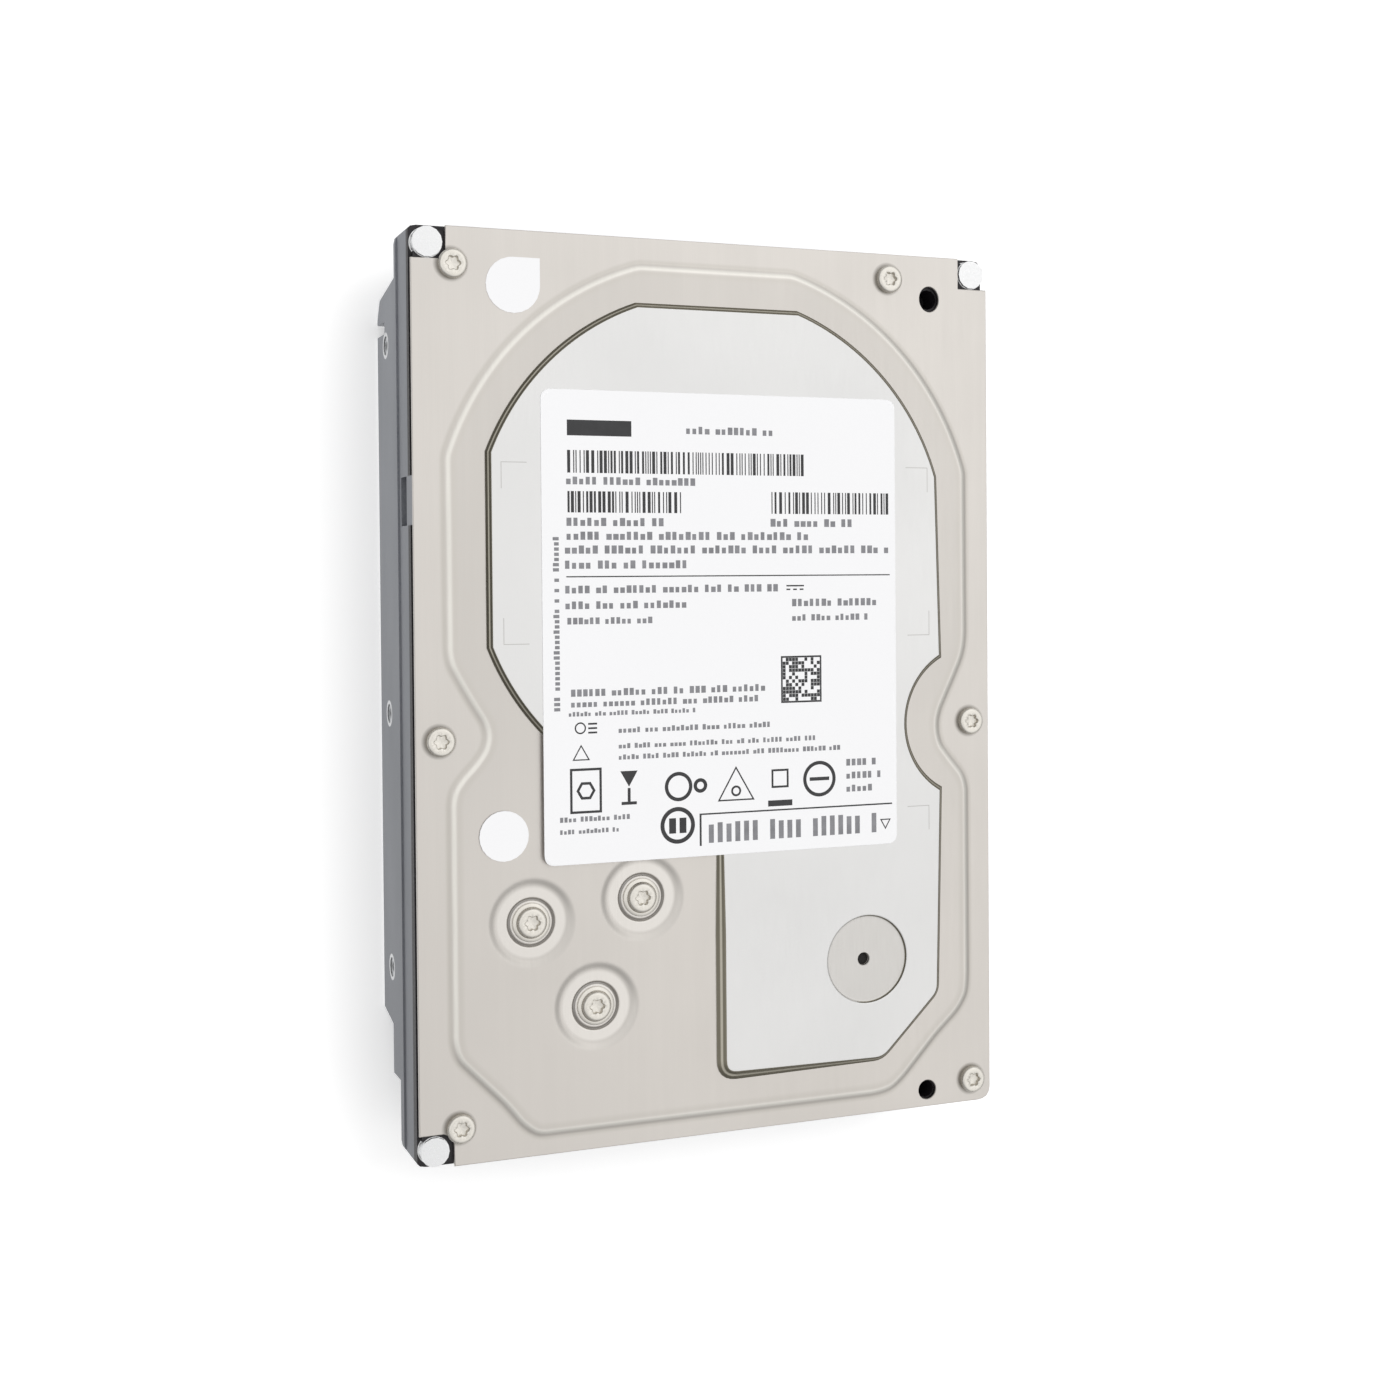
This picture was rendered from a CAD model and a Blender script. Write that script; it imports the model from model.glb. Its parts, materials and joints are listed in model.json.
"""Hard disk drive: detailed sheets, screws, print and board tracks over the CAD pieces.

x runs across the drive, y along it with the interface connector at the -y end, z up.
The casting stands on z = 0, the circuit board is underneath and the cover and label on top.
Sizes are in millimetres unless a name says otherwise; MM turns them into scene metres.
"""
import json
import math
import bpy
import numpy as np
from mathutils import Matrix, Vector
from mathutils.geometry import delaunay_2d_cdt


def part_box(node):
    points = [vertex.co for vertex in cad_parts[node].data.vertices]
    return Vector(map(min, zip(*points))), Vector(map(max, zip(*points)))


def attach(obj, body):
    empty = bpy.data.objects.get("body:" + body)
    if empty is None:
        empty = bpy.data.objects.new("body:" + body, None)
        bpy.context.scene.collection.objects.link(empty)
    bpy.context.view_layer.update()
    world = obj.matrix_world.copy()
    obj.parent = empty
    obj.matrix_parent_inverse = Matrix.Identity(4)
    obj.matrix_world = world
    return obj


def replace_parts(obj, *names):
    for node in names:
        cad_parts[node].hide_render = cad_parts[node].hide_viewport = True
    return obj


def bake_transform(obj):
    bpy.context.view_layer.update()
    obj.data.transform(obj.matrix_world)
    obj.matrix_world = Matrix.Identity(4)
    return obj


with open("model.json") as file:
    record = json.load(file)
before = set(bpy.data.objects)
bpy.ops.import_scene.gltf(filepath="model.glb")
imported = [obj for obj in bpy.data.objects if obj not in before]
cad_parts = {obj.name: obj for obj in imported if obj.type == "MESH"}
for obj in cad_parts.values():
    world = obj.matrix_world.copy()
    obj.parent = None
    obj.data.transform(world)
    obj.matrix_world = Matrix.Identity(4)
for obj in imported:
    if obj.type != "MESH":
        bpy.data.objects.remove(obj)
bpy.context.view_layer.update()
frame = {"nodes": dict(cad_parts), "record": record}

MM = 0.001
SCENE = bpy.context.scene
NODES = frame["nodes"]


def centre_mm(node):
    low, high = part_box(node)
    return ((low.x + high.x) / 2 / MM, (low.y + high.y) / 2 / MM)


# ------------------------------------------------------------------ driving sizes
SHEET = 0.50        # cover sheet thickness
FLANGE_Z = 24.70    # top of the cover's low border
DIMPLE_Z = 24.68    # floor of the three round dimples
RAISED_Z = 25.08    # top of the cover's raised middle
PLATE_LOW_Z = 25.07
PLATE_RIM_Z = 25.22
PLATE_Z = 26.0
WELL_Z = 25.55      # floor of the round well in the plate
LABEL_Z = 26.1
BOARD_Z = 1.0       # underside of the circuit board

SPINDLE = (0.0, 23.0)
PIVOT = (-13.9, -33.3)
YOKE_SCREWS = [(-32.4, -36.0), (-21.8, -50.2)]
DIMPLES = [YOKE_SCREWS[0], PIVOT, YOKE_SCREWS[1]]
COVER_SCREWS = [centre_mm("cover_screw_%d" % (i + 1)) for i in range(6)]
BOARD_SCREWS = [centre_mm("board_screw_%d" % (i + 1)) for i in range(4)]
OVAL_HOLE = (39.4, 66.0)
ROUND_HOLE = (38.2, -70.4)
BREATHER = (25.7, -46.5)    # small hole through cover and plate
BREATHER_RADIUS = 1.05
WELL = (26.2, -46.5)        # centre of the round well about that hole

SIDE_HOLE_Y = (-45.0, -3.39, 56.6)
SIDE_HOLE_Z = 6.35
BOTTOM_HOLE_X = 47.625
BOTTOM_HOLE_Y = (-32.22, 12.23)


# ------------------------------------------------------------------ outlines
def polar(centre, radius, degrees):
    angle = math.radians(degrees)
    return (centre[0] + radius * math.cos(angle), centre[1] + radius * math.sin(angle))


def circle(centre, radius, sides, start=0.0):
    return [polar(centre, radius, start + 360.0 * i / sides) for i in range(sides)]


def arc(centre, radius, start, end, steps):
    return [polar(centre, radius, start + (end - start) * i / steps) for i in range(steps + 1)]


def rect(x0, y0, x1, y1):
    return [(x0, y0), (x1, y0), (x1, y1), (x0, y1)]


def rounded(points, radius, steps):
    """Outline with curved corners. radius is one number or a list with one per corner."""
    radii = radius if isinstance(radius, list) else [radius] * len(points)
    out = []
    for i, wanted in enumerate(radii):
        corner = Vector(points[i])
        back = Vector(points[i - 1]) - corner
        ahead = Vector(points[(i + 1) % len(points)]) - corner
        reach = min(wanted, back.length * 0.45, ahead.length * 0.45)
        if reach < 0.02:
            out.append((corner.x, corner.y))
            continue
        start = corner + back.normalized() * reach
        end = corner + ahead.normalized() * reach
        for k in range(steps + 1):
            u = k / steps
            q = start * (1 - u) ** 2 + corner * (2 * u * (1 - u)) + end * (u * u)
            out.append((q.x, q.y))
    return out


def offset(points, distance):
    """Outline moved along its normals, outwards on a counter-clockwise outline.
    distance is one number or a function of the point."""
    out = []
    for i, p in enumerate(points):
        before, after = points[i - 1], points[(i + 1) % len(points)]
        in_x, in_y = p[0] - before[0], p[1] - before[1]
        out_x, out_y = after[0] - p[0], after[1] - p[1]
        in_length = math.hypot(in_x, in_y) or 1.0
        out_length = math.hypot(out_x, out_y) or 1.0
        in_x, in_y = in_x / in_length, in_y / in_length
        out_x, out_y = out_x / out_length, out_y / out_length
        normal_x, normal_y = in_y + out_y, -(in_x + out_x)
        length = math.hypot(normal_x, normal_y) or 1.0
        mitre = max(0.35, (normal_x * in_y - normal_y * in_x) / length)
        move = (distance(p) if callable(distance) else distance) / mitre
        out.append((p[0] + normal_x / length * move, p[1] + normal_y / length * move))
    return out


def ccw(points):
    """The outline, turned to run counter-clockwise."""
    twice_area = sum(points[i - 1][0] * points[i][1] - points[i][0] * points[i - 1][1]
                     for i in range(len(points)))
    return list(points) if twice_area > 0 else list(reversed(points))


def inside(polygon, points):
    """Which of the points lie inside the polygon."""
    x, y = points[:, 0], points[:, 1]
    found = np.zeros(len(points), bool)
    corners = np.array(polygon, float)
    for (xi, yi), (xj, yj) in zip(corners, np.roll(corners, 1, axis=0)):
        if yi != yj:
            crosses = (yi > y) != (yj > y)
            found ^= crosses & (x < (xj - xi) * (y - yi) / (yj - yi) + xi)
    return found


def band_outline():
    """Foot of the step up to the cover's raised middle: an arc round the disk, then waisted
    sides and clipped corners down to the connector end."""
    radius, top_y = 47.7, 68.7
    right_x, left_x = 45.8, 45.4    # how far out the arc ends on each side

    def angle(x):
        return math.degrees(math.acos(x / radius))

    top = math.degrees(math.asin((top_y - SPINDLE[1]) / radius))
    sides = [   # x, y: down the left side, along the connector end, up the right side
        (-45.3, 7.0), (-44.9, 4.9), (-43.2, 1.7), (-41.2, -1.7), (-39.6, -4.2), (-39.1, -6.3),
        (-39.6, -8.4), (-41.2, -10.6), (-43.2, -12.6), (-44.6, -14.6), (-45.0, -16.6),
        (-45.0, -54.2), (-44.2, -56.8), (-36.8, -64.4), (-34.0, -68.0), (-31.6, -69.8),
        (28.4, -69.8), (31.3, -69.2), (33.8, -67.1), (39.7, -60.8), (44.0, -57.0),
        (45.7, -54.4), (46.0, -51.7), (46.0, -18.3), (45.3, -16.0), (43.0, -13.3),
        (41.0, -10.8), (40.4, -8.8), (40.3, -6.7), (40.8, -4.6), (42.2, -1.7), (43.9, 1.7),
        (45.3, 4.8), (45.8, 7.5)]
    arcs = arc(SPINDLE, radius, angle(right_x), top, 22)
    arcs += arc(SPINDLE, radius, 180 - top, 180 - angle(left_x), 22)
    return rounded(arcs + sides, 1.6, 3)


def plate_outline():
    """Damping plate: an arc round the disk and a tail with a concave right side."""
    radius = 41.8
    flat_x = 14.2               # half length of the straight far edge
    right_x, left_x = 39.9, 38.9
    tail_x, tail_y = -0.4, -63.8

    def angle(x):
        return math.degrees(math.acos(x / radius))

    points = arc(SPINDLE, radius, angle(right_x), angle(flat_x), 26)
    points += arc(SPINDLE, radius, 180 - angle(flat_x), 180 - angle(left_x), 26)
    points += arc(SPINDLE, radius, 180 + angle(left_x), 269.4, 36)
    points += [(tail_x, -22.0), (tail_x, -40.0)]
    points += rounded([(tail_x, -50.0), (tail_x, tail_y), (12.0, tail_y)], [0, 2.7, 0], 6)[1:-1]
    points += rounded([(20.0, tail_y), (29.2, tail_y), (right_x, -53.3), (right_x, -45.0)],
                      [0, 1.6, 1.4, 0], 4)[1:-1]
    points += arc((46.9, -6.8), 13.0, 241.4, 118.6, 40)
    return ccw(points)


BAND = band_outline()
PLATE_OUTLINE = plate_outline()
LABEL_OUTLINE = ccw(rounded(rect(-30.5, -27.1, 31.9, 48.4), 1.8, 6))
COVER_OUTLINE = ccw([   # x, y: rectangle with three open corners and one curved corner
    (-50.6, 68.1), (-45.1, 68.1), (-45.1, 73.3), (45.1, 73.3), (45.1, 68.1), (50.6, 68.1),
    (50.6, -71.2), (50.4, -72.1), (49.9, -72.8), (49.2, -73.15), (48.3, -73.3),
    (-45.1, -73.3), (-45.15, -69.9), (-45.4, -69.1), (-45.95, -68.45), (-46.8, -68.1),
    (-50.6, -68.1)])


# ------------------------------------------------------------------ mesh building
def make_object(name, verts, faces, materials, body="housing", face_materials=None,
                weighted=False):
    mesh = bpy.data.meshes.new(name)
    mesh.from_pydata([(x * MM, y * MM, z * MM) for x, y, z in verts], [], faces)
    mesh.validate()
    for material in materials:
        mesh.materials.append(material)
    count = len(mesh.polygons)
    if face_materials is not None and len(face_materials) == count:
        mesh.polygons.foreach_set("material_index", np.array(face_materials, np.int32))
    mesh.polygons.foreach_set("use_smooth", np.ones(count, bool))
    mesh.update()
    obj = bpy.data.objects.new(name, mesh)
    SCENE.collection.objects.link(obj)
    mesh.set_sharp_from_angle(angle=math.radians(40))
    if weighted:
        obj.modifiers.new("weighted", "WEIGHTED_NORMAL").keep_sharp = True
    if body:
        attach(obj, body)
    return obj


class Solids:
    """Closed solids collected into one mesh."""

    def __init__(self):
        self.verts, self.faces = [], []

    def add(self, verts, faces):
        first = len(self.verts)
        self.verts += verts
        self.faces += [tuple(i + first for i in face) for face in faces]

    def rings(self, rings, up=True):
        """Skin over (outline, z) rings with equal point counts, closed at both ends."""
        n = len(rings[0][0])
        verts = [(p[0], p[1], z) for points, z in rings for p in points]
        faces = []
        for k in range(len(rings) - 1):
            for i in range(n):
                j = (i + 1) % n
                quad = (k * n + i, k * n + j, (k + 1) * n + j, (k + 1) * n + i)
                faces.append(quad if up else quad[::-1])
        first = tuple(range(n))
        last = tuple((len(rings) - 1) * n + i for i in range(n))
        faces.append(first[::-1] if up else first)
        faces.append(last if up else last[::-1])
        self.add(verts, faces)

    def prism(self, points, z0, z1):
        points = ccw(points)
        self.rings([(points, z0), (points, z1)], z1 > z0)

    def box(self, x0, x1, y0, y1, z0, z1, bevel):
        """Box with all edges chamfered."""
        left, right, low, high = x0 + bevel, x1 - bevel, y0 + bevel, y1 - bevel

        def octagon(reach):
            return [(left, low - reach), (right, low - reach), (right + reach, low),
                    (right + reach, high), (right, high + reach), (left, high + reach),
                    (left - reach, high), (left - reach, low)]

        end, side = octagon(0.02), octagon(bevel)
        self.rings([(end, z0), (side, z0 + bevel), (side, z1 - bevel), (end, z1)])

    def lathe(self, x, y, profile, sides, z0, flip=False):
        """Turned solid. profile: (radius, height) or (radius, height, share of six lobes).
        flip turns it over, so that heights run downwards."""
        verts, faces, rows = [], [], []
        for radius, height, *share in profile:
            z = z0 - height if flip else z0 + height
            first = len(verts)
            if radius <= 1e-6:
                verts.append((x, y, z))
            else:
                for i in range(sides):
                    a = 2 * math.pi * i / sides
                    r = radius * (1 + share[0] * 0.15 * math.cos(6 * a)) if share else radius
                    verts.append((x + r * math.cos(a), y + r * math.sin(a), z))
            rows.append(range(first, len(verts)))
        for a, b in zip(rows, rows[1:]):
            for i in range(sides):
                j = (i + 1) % sides
                if len(a) == 1:
                    face = (a[0], b[j], b[i])
                elif len(b) == 1:
                    face = (a[i], a[j], b[0])
                else:
                    face = (a[i], a[j], b[j], b[i])
                faces.append(face[::-1] if flip else face)
        self.add(verts, faces)

    def make(self, name, material, slot):
        return make_object(name, self.verts, self.faces, [material],
                           face_materials=[0] * len(self.faces))


def sheet(name, outline, holes, rings, z_top, z_low, materials, edge, ink=()):
    """Closed sheet with a rounded upper edge, holes and stamped rings.
    holes and rings: (points, top height, bottom height).
    ink: (loops, material index), the first loop being the shape and the others its holes."""
    loops = [(outline, z_top - edge, z_low),
             (offset(outline, -edge * 0.42), z_top - edge * 0.28, z_low),
             (offset(outline, -edge * 1.15), z_top, z_low)]
    for points, top, low in holes:
        points = ccw(points)
        loops += [(points, top - 0.10, low), (offset(points, 0.10), top, low)]
    loops += rings
    loops += [(loop, z_top, z_low) for region, _ in ink for loop in region]

    points, edges, heights = [], [], []
    for loop, top, low in loops:
        first, n = len(points), len(loop)
        points += [Vector((p[0], p[1])) for p in loop]
        heights += [(top, low)] * n
        edges += [(first + i, first + (i + 1) % n) for i in range(n)]
    flat, _, cells, origins, _, _ = delaunay_2d_cdt(points, edges, [], 0, 1e-5, True)
    xy = np.array([(v.x, v.y) for v in flat], float)
    triangles = np.array([c for c in cells if len(c) == 3], int)

    # keep the triangles inside the outline and outside the holes, all turned to face up
    middle = xy[triangles].mean(axis=1)
    keep = inside(outline, middle)
    for hole, _, _ in holes:
        keep &= ~inside(hole, middle)
    triangles, middle = triangles[keep], middle[keep]
    a, b, c = (xy[triangles[:, i]] for i in range(3))
    cross = (b[:, 0] - a[:, 0]) * (c[:, 1] - a[:, 1]) - (b[:, 1] - a[:, 1]) * (c[:, 0] - a[:, 0])
    keep = np.abs(cross) > 1e-9
    triangles, middle, cross = triangles[keep], middle[keep], cross[keep]
    triangles[cross < 0] = triangles[cross < 0][:, ::-1]

    top_material = np.zeros(len(triangles), int)
    for region, index in ink:
        shape = np.array(region[0])
        in_box = (middle > shape.min(0)) & (middle < shape.max(0))
        near = np.where(in_box.all(axis=1))[0]
        hit = inside(region[0], middle[near])
        for hole in region[1:]:
            hit &= ~inside(hole, middle[near])
        top_material[near[hit]] = index

    # top face, bottom face, and a wall along every edge that only one triangle uses
    n = len(flat)
    levels = [heights[o[0]] if o else (z_top, z_low) for o in origins]
    verts = [(x, y, level[side]) for side in (0, 1) for (x, y), level in zip(xy, levels)]
    faces = [tuple(int(i) for i in t) for t in triangles]
    faces += [tuple(int(i) + n for i in t[::-1]) for t in triangles]
    face_materials = [int(m) for m in top_material] + [0] * len(triangles)
    used = {(int(t[i]), int(t[(i + 1) % 3])): True for t in triangles for i in range(3)}
    for i, j in used:
        if (j, i) not in used:
            faces.append((j, i, i + n, j + n))
            face_materials.append(0)
    live = sorted({i for face in faces for i in face})
    place = {old: new for new, old in enumerate(live)}
    return make_object(name, [verts[i] for i in live],
                       [tuple(place[i] for i in face) for face in faces],
                       materials, face_materials=face_materials, weighted=True)


# ------------------------------------------------------------------ node building
def put(tree, socket, value):
    """Link a socket into this one, or set its value."""
    if isinstance(value, bpy.types.NodeSocket):
        tree.links.new(value, socket)
    elif isinstance(value, (tuple, list)) and len(value) == 3 and socket.type == "RGBA":
        socket.default_value = (*value, 1)
    else:
        socket.default_value = value


def add_node(tree, kind, inputs=None, **settings):
    node = tree.nodes.new(kind)
    for key, value in settings.items():
        setattr(node, key, value)
    for key, value in (inputs or {}).items():
        put(tree, node.inputs[key], value)
    return node


def map_range(tree, value, source, target):
    inputs = {"Value": value, "From Min": source[0], "From Max": source[1],
              "To Min": target[0], "To Max": target[1]}
    return add_node(tree, "ShaderNodeMapRange", inputs).outputs["Result"]


def mix_colors(tree, factor, a, b):
    node = add_node(tree, "ShaderNodeMix", data_type="RGBA")
    for key, value in ((0, factor), (6, a), (7, b)):
        put(tree, node.inputs[key], value)
    return node.outputs[2]


MATERIALS = {}          # every Look's material, by name
MIDTONES = (0.3, 0.7)   # the stretch of a noise's values that is spread over a range
FALLING = (1.0, 0.0)


class Look:
    """A procedural material; lengths are in mm, source and target are (start, end) pairs."""

    def __init__(self, name, color, metallic, roughness):
        self.material = bpy.data.materials.new(name)
        self.material.use_nodes = True
        self.tree = self.material.node_tree
        self.tree.nodes.clear()
        self.output = self.node("ShaderNodeOutputMaterial")
        self.shader = self.node("ShaderNodeBsdfPrincipled")
        put(self.tree, self.output.inputs["Surface"], self.shader.outputs["BSDF"])
        self.position = self.node("ShaderNodeTexCoord").outputs["Object"]
        self.color(color)
        self.metal(metallic)
        self.rough(roughness)
        self.material.diffuse_color = (*color, 1)
        MATERIALS[name] = self.material

    def node(self, kind, inputs=None, **settings):
        return add_node(self.tree, kind, inputs, **settings)

    def noise(self, size, detail=3, rough=0.5, along=None):
        """Noise with features about size across; along=(x, y, z) stretches it."""
        vector, scale = self.position, 1.0 / (size * MM)
        if along:
            stretch = tuple(scale / a for a in along)
            mapping = self.node("ShaderNodeMapping", {"Vector": vector, "Scale": stretch})
            vector, scale = mapping.outputs["Vector"], 1.0
        inputs = {"Vector": vector, "Scale": scale, "Detail": detail, "Roughness": rough}
        return self.node("ShaderNodeTexNoise", inputs).outputs["Fac"]

    def cells(self, size):
        inputs = {"Vector": self.position, "Scale": 1.0 / (size * MM)}
        return self.node("ShaderNodeTexVoronoi", inputs).outputs["Distance"]

    def wave(self, pitch, distortion=0.0, **settings):
        inputs = {"Vector": self.position, "Scale": 1.0 / (pitch * MM) / 6.28,
                  "Distortion": distortion}
        return self.node("ShaderNodeTexWave", inputs, **settings).outputs["Fac"]

    def calc(self, operation, total, *others):
        """The operation applied from left to right."""
        for value in others or (0.0,):
            node = self.node("ShaderNodeMath", {0: total, 1: value}, operation=operation)
            total = node.outputs[0]
        return total

    def plus(self, *values):
        return self.calc("ADD", *values)

    def minus(self, a, b):
        return self.calc("SUBTRACT", a, b)

    def times(self, *values):
        return self.calc("MULTIPLY", *values)

    def either(self, *masks):
        return self.calc("MAXIMUM", *masks) if len(masks) > 1 else masks[0]

    def span(self, value, source, target=(0.0, 1.0)):
        return map_range(self.tree, value, source, target)

    def span_mm(self, value, start, end, target=(0.0, 1.0)):
        return self.span(value, (start * MM, end * MM), target)

    def mix(self, factor, a, b):
        return mix_colors(self.tree, factor, a, b)

    def xyz(self):
        return self.node("ShaderNodeSeparateXYZ", {0: self.position}).outputs

    def attribute(self, name):
        return self.node("ShaderNodeAttribute", attribute_name=name).outputs["Fac"]

    def base(self):
        """What is linked into the base colour so far."""
        return self.shader.inputs["Base Color"].links[0].from_socket

    def color(self, value):
        put(self.tree, self.shader.inputs["Base Color"], value)

    def rough(self, value):
        put(self.tree, self.shader.inputs["Roughness"], value)

    def rough_by(self, noise, low, high):
        self.rough(self.span(noise, MIDTONES, (low, high)))

    def metal(self, value):
        put(self.tree, self.shader.inputs["Metallic"], value)

    def bump(self, height, strength, depth):
        """Add a bump over the ones already there."""
        normal = self.shader.inputs["Normal"]
        inputs = {"Strength": strength, "Distance": depth * MM, "Height": height}
        if normal.links:
            inputs["Normal"] = normal.links[0].from_socket
        put(self.tree, normal, self.node("ShaderNodeBump", inputs).outputs[0])

    def between(self, value, low, high, soft):
        """1 where low < value < high, with soft edges."""
        up = self.span_mm(value, low - soft, low + soft)
        return self.times(up, self.span_mm(value, high - soft, high + soft, FALLING))

    def disc(self, centre, radius, soft=0.1, axes=(0, 1)):
        """1 within the radius of the line through centre, along the third axis."""
        place = self.xyz()
        dx = self.minus(place[axes[0]], centre[0] * MM)
        dy = self.minus(place[axes[1]], centre[1] * MM)
        away = self.calc("SQRT", self.plus(self.times(dx, dx), self.times(dy, dy)))
        return self.span_mm(away, radius - soft, radius + soft, FALLING)


# ------------------------------------------------------------------ materials
def brushed(name, color, rough, along, grain_size, tone, bump, metallic=1.0, clouding=0.05,
            cloud_size=22.0):
    """Satin metal with a fine directional grain, faint clouding and a varied sheen."""
    look = Look(name, color, metallic, rough)
    grain = look.noise(grain_size, rough=0.6, along=along)
    fine = look.noise(grain_size * 0.35, detail=2, along=along)
    cloud = look.noise(cloud_size)
    dark = tuple(c * (1 - tone) for c in color)
    light = tuple(min(1, c * (1 + tone)) for c in color)
    cloudy = tuple(c * (1 - clouding) for c in color)
    base = look.mix(grain, dark, light)
    look.color(look.mix(look.span(cloud, MIDTONES, (0, clouding * 4)), base, cloudy))
    look.rough(look.plus(look.span(grain, (0.25, 0.75), (rough - 0.06, rough + 0.06)),
                         look.span(cloud, MIDTONES, (-0.03, 0.04))))
    look.bump(look.plus(grain, look.times(fine, 0.5)), strength=bump, depth=0.012)
    return look


def moulded(name, color, rough, grain_size, bump, specular=0.5):
    look = Look(name, color, 0.0, rough)
    grain = look.noise(grain_size, detail=2)
    cloud = look.noise(7.0, detail=2)
    dark = tuple(c * 0.88 for c in color)
    light = tuple(min(1, c * 1.1 + 0.004) for c in color)
    look.color(look.mix(cloud, dark, light))
    look.rough_by(grain, low=rough - 0.08, high=rough + 0.08)
    look.bump(grain, strength=bump, depth=0.02)
    look.shader.inputs["Specular IOR Level"].default_value = specular


def cover_steel():
    """Warm stainless sheet, a little darker towards the connector end."""
    look = brushed("cover_steel", (0.725, 0.690, 0.648), rough=0.36, along=(1.0, 40.0, 40.0),
                   grain_size=0.20, tone=0.045, bump=0.10, clouding=0.04, cloud_size=26.0)
    y = look.xyz()[1]
    base = look.base()
    streak = look.noise(1.3, detail=2, along=(1.0, 30.0, 30.0))
    base = look.mix(look.span(streak, (0.45, 0.75), (0.0, 0.22)), base, (0.79, 0.75, 0.705))
    base = look.mix(look.span_mm(y, 30, -70, (0.0, 0.35)), base, (0.66, 0.62, 0.575))

    # each dimple: slope, bright floor and a dark groove round the screw's flange
    floor = look.either(*[look.disc(p, 5.65, soft=0.25) for p in DIMPLES])
    wall = look.either(*[look.disc(p, 7.15, soft=0.25) for p in DIMPLES])
    groove = look.either(*[look.minus(look.disc(p, 3.95), look.disc(p, 3.55)) for p in DIMPLES])
    # a dark line beside each cover screw
    beside = look.either(*[look.disc((x - 0.22, y + 0.04), 2.62, soft=0.28)
                           for x, y in COVER_SCREWS])
    crest, dull = look.attribute("crest"), look.attribute("dull")
    inner = look.times(look.attribute("inner"),
                       look.span_mm(look.xyz()[1], -30, 5, (0.0, 0.26)))
    base = look.mix(inner, base, (0.54, 0.515, 0.48))
    for mask, amount, tint in (
            (dull, 0.34, (0.50, 0.475, 0.42)), (crest, 0.9, (0.90, 0.875, 0.815)),
            (wall, 0.85, (0.655, 0.625, 0.585))):
        base = look.mix(look.times(mask, amount), base, tint)
    base = look.mix(floor, base, (0.83, 0.795, 0.75))
    base = look.mix(look.times(groove, 0.62), base, (0.10, 0.095, 0.09))
    look.color(look.mix(look.times(beside, 0.60), base, (0.16, 0.15, 0.13)))
    look.bump(look.span(look.cells(0.9), (0.0, 0.12)), strength=0.05, depth=0.01)


def plate_steel():
    """Pale satin plate, warmer in the round well."""
    look = brushed("plate_steel", (0.84, 0.835, 0.825), rough=0.42, along=(1.0, 26.0, 26.0),
                   grain_size=0.16, tone=0.03, bump=0.10, clouding=0.03, cloud_size=30.0)
    base = look.base()
    look.color(look.mix(look.disc(WELL, 7.3, soft=0.08), base, (0.735, 0.715, 0.685)))


def plate_edge():
    """Dark sheared edge with a lighter line round it."""
    look = brushed("plate_edge", (0.25, 0.23, 0.18), rough=0.32, along=(1.0, 1.0, 20.0),
                   grain_size=0.12, tone=0.10, bump=0.12, clouding=0.08, cloud_size=6.0)
    z = look.xyz()[2]
    base = look.base()
    line = look.between(z, 25.57, 25.68, soft=0.02)
    look.color(look.mix(line, base, (0.52, 0.49, 0.41)))


def label_paper():
    look = Look("label_paper", (0.92, 0.92, 0.94), metallic=0.0, roughness=0.5)
    fibre = look.noise(0.25, detail=4, rough=0.6)
    wave = look.noise(9.0, detail=2)
    look.color(look.mix(fibre, (0.885, 0.885, 0.90), (0.915, 0.915, 0.925)))
    look.rough_by(wave, low=0.44, high=0.58)
    look.bump(look.plus(look.times(fibre, 0.3), wave), strength=0.12, depth=0.02)


def ink(name, value):
    """Faintly blue print; value is its brightness."""
    look = Look(name, (value, value, value * 1.08), metallic=0.0, roughness=0.42)
    grain = look.noise(0.08, rough=0.6)
    patches = look.noise(2.0, detail=2)
    amount = look.times(grain, look.span(patches, MIDTONES, (0.2, 0.9)))
    look.color(look.mix(amount, (value * 0.75, value * 0.75, value * 0.8),
                        (value * 1.5, value * 1.5, value * 1.6)))
    look.rough_by(grain, low=0.36, high=0.5)
    look.bump(grain, strength=0.08, depth=0.01)


def screw_steel():
    """Bright where it faces up or down, darker on the sides."""
    look = Look("screw_steel", (0.80, 0.765, 0.70), metallic=1.0, roughness=0.30)
    grain = look.noise(0.3, rough=0.6)
    fine = look.noise(0.07, detail=2)
    normal = look.node("ShaderNodeNewGeometry").outputs["Normal"]
    up = look.node("ShaderNodeSeparateXYZ", {0: normal}).outputs[2]
    base = look.mix(grain, (0.74, 0.705, 0.64), (0.91, 0.875, 0.81))
    side = look.span(look.calc("ABSOLUTE", up), (0.15, 0.75), (0.22, 0.0))
    look.color(look.mix(side, base, (0.26, 0.245, 0.21)))
    look.rough_by(grain, low=0.24, high=0.40)
    look.bump(look.plus(grain, look.times(fine, 0.4)), strength=0.15, depth=0.02)


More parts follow.
